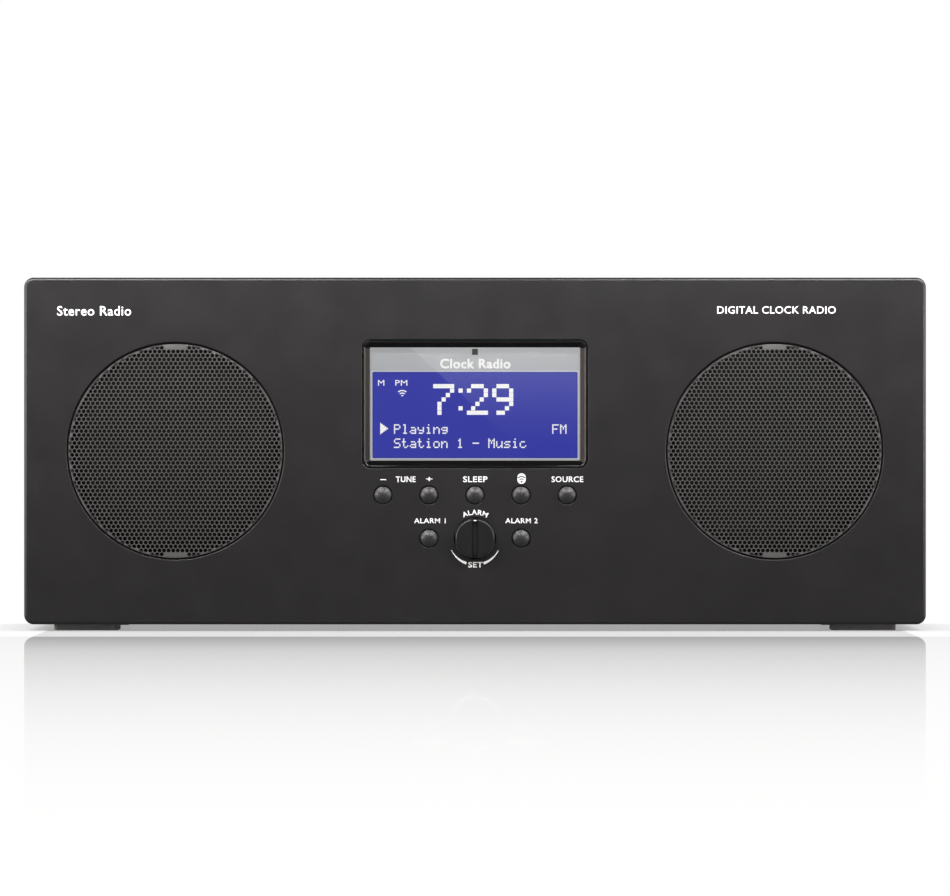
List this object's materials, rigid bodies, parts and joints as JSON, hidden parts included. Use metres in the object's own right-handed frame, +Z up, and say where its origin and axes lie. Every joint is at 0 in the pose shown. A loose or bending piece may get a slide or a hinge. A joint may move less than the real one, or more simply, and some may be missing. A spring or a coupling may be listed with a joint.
{
  "type": "tabletop radio",
  "caption": "Stereo tabletop radio with a lit clock display, round punched grilles, push buttons, a turning knob, a battery bay and a whip antenna.",
  "frame": {"origin": "centre of the footprint, on the plane the feet stand on", "axes": "+X to the right for someone facing the front, the front faces -Y, +Z up"},
  "size_m": [0.286, 0.133, 0.112],
  "materials": {
    "cabinet": "black textured wrap over fibreboard",
    "panel": "satin, fine texture",
    "control": "satin",
    "gloss_black": "polished",
    "grille": "satin grey paint on punched steel",
    "lens": "clear acrylic, polished",
    "display_print": "printed silver grey",
    "lcd": "blue lit display",
    "backlight": "white diffuser",
    "rubber": "matt",
    "steel": "zinc plated",
    "chrome": "polished",
    "ferrite": "dark ferrite and plated plates",
    "cone": "black coated paper",
    "circuit_board": "green lacquer",
    "socket_plastic": "moulded",
    "flat_cable": "white film",
    "battery_wrap": "shrink wrap"
  },
  "bodies": {
    "root": {"cabinet_sleeve": "cabinet", "front_panel": "panel", "rear_panel": "panel", "battery_tray": "panel", "bass_port": "panel", "display_bezel": "gloss_black", "display_lens": "lens", "display_mask": "display_print", "lcd_glass": "lcd", "lcd_backlight": "backlight", "remote_sensor": "gloss_black", "key_board": "circuit_board", "main_board": "circuit_board", "top_switch_board": "circuit_board", "encoder_body": "steel", "top_key_frame": "gloss_black", "battery_pack": "battery_wrap", "tuner_shield": "steel", "usb_port": "steel", "display_ribbon": "flat_cable", "dc_jack": "socket_plastic", "aux_jack": "socket_plastic", "headphone_jack": "socket_plastic", "left_grille": "grille", "left_speaker_basket": "steel", "left_speaker_surround": "rubber", "left_speaker_magnet": "ferrite", "right_grille": "grille", "right_speaker_basket": "steel", "right_speaker_surround": "rubber", "right_speaker_magnet": "ferrite", "front_left_foot": "rubber", "front_right_foot": "rubber", "rear_left_foot": "rubber", "rear_right_foot": "rubber", "rear_screw_1": "steel", "rear_screw_2": "steel", "rear_screw_3": "steel", "rear_screw_4": "steel"},
    "tune_down_button": {"tune_down_button": "control"},
    "tune_up_button": {"tune_up_button": "control"},
    "sleep_button": {"sleep_button": "control"},
    "pairing_button": {"pairing_button": "control"},
    "source_button": {"source_button": "control"},
    "alarm_1_button": {"alarm_1_button": "control"},
    "alarm_2_button": {"alarm_2_button": "control"},
    "volume_down_key": {"volume_down_key": "control"},
    "snooze_power_key": {"snooze_power_key": "control"},
    "volume_up_key": {"volume_up_key": "control"},
    "encoder_plunger": {"encoder_plunger": "socket_plastic"},
    "alarm_knob": {"alarm_knob": "control", "encoder_shaft": "steel"},
    "left_speaker_cone": {"left_speaker_cone": "cone"},
    "right_speaker_cone": {"right_speaker_cone": "cone"},
    "battery_door": {"battery_door": "panel"},
    "antenna_base": {"antenna_base": "socket_plastic"},
    "antenna_outer_tube": {"antenna_outer_tube": "chrome"},
    "antenna_middle_tube": {"antenna_middle_tube": "chrome"},
    "antenna_inner_tube": {"antenna_inner_tube": "chrome"},
    "antenna_tip": {"antenna_tip": "chrome"}
  },
  "joints": [
    {"name": "tune_down_press", "type": "slide", "parent": "root", "child": "tune_down_button", "axis": [0, 1, 0], "range_m": [0, 0.001], "stiffness_N_per_m": 1200, "springref_m": -0.0003},
    {"name": "tune_up_press", "type": "slide", "parent": "root", "child": "tune_up_button", "axis": [0, 1, 0], "range_m": [0, 0.001], "stiffness_N_per_m": 1200, "springref_m": -0.0003},
    {"name": "sleep_press", "type": "slide", "parent": "root", "child": "sleep_button", "axis": [0, 1, 0], "range_m": [0, 0.001], "stiffness_N_per_m": 1200, "springref_m": -0.0003},
    {"name": "pairing_press", "type": "slide", "parent": "root", "child": "pairing_button", "axis": [0, 1, 0], "range_m": [0, 0.001], "stiffness_N_per_m": 1200, "springref_m": -0.0003},
    {"name": "source_press", "type": "slide", "parent": "root", "child": "source_button", "axis": [0, 1, 0], "range_m": [0, 0.001], "stiffness_N_per_m": 1200, "springref_m": -0.0003},
    {"name": "alarm_1_press", "type": "slide", "parent": "root", "child": "alarm_1_button", "axis": [0, 1, 0], "range_m": [0, 0.001], "stiffness_N_per_m": 1200, "springref_m": -0.0003},
    {"name": "alarm_2_press", "type": "slide", "parent": "root", "child": "alarm_2_button", "axis": [0, 1, 0], "range_m": [0, 0.001], "stiffness_N_per_m": 1200, "springref_m": -0.0003},
    {"name": "knob_press", "type": "slide", "parent": "root", "child": "encoder_plunger", "axis": [0, 1, 0], "range_m": [0, 0.0005], "stiffness_N_per_m": 3000, "springref_m": -0.0003},
    {"name": "knob_turn", "type": "hinge", "parent": "encoder_plunger", "child": "alarm_knob", "pos_m": [0, -0.0639, 0.0293], "axis": [0, -1, 0], "continuous": true},
    {"name": "volume_down_press", "type": "slide", "parent": "root", "child": "volume_down_key", "axis": [0, 0, -1], "range_m": [0, 0.001], "stiffness_N_per_m": 1200, "springref_m": -0.0003},
    {"name": "snooze_power_press", "type": "slide", "parent": "root", "child": "snooze_power_key", "axis": [0, 0, -1], "range_m": [0, 0.001], "stiffness_N_per_m": 1200, "springref_m": -0.0003},
    {"name": "volume_up_press", "type": "slide", "parent": "root", "child": "volume_up_key", "axis": [0, 0, -1], "range_m": [0, 0.001], "stiffness_N_per_m": 1200, "springref_m": -0.0003},
    {"name": "left_cone_travel", "type": "slide", "parent": "root", "child": "left_speaker_cone", "axis": [0, 1, 0], "range_m": [-0.002, 0.002], "stiffness_N_per_m": 1300, "deforming": ["left_speaker_surround"]},
    {"name": "right_cone_travel", "type": "slide", "parent": "root", "child": "right_speaker_cone", "axis": [0, 1, 0], "range_m": [-0.002, 0.002], "stiffness_N_per_m": 1300, "deforming": ["right_speaker_surround"]},
    {"name": "battery_door_hinge", "type": "hinge", "parent": "root", "child": "battery_door", "pos_m": [0, 0.0546, 0.0485], "axis": [-1, 0, 0], "range_deg": [0, 95]},
    {"name": "antenna_swivel", "type": "hinge", "parent": "root", "child": "antenna_base", "pos_m": [0.112, 0.0623, 0.095], "axis": [0, 1, 0], "range_deg": [0, 180]},
    {"name": "antenna_tilt", "type": "hinge", "parent": "antenna_base", "child": "antenna_outer_tube", "pos_m": [0.112, 0.0623, 0.095], "axis": [0, 0, -1], "range_deg": [0, 90]},
    {"name": "antenna_middle_slide", "type": "slide", "parent": "antenna_outer_tube", "child": "antenna_middle_tube", "axis": [-1, 0, 0], "range_m": [0, 0.165]},
    {"name": "antenna_inner_slide", "type": "slide", "parent": "antenna_middle_tube", "child": "antenna_inner_tube", "axis": [-1, 0, 0], "range_m": [0, 0.165]},
    {"name": "antenna_tip_slide", "type": "slide", "parent": "antenna_inner_tube", "child": "antenna_tip", "axis": [-1, 0, 0], "range_m": [0, 0.165]}
  ]
}
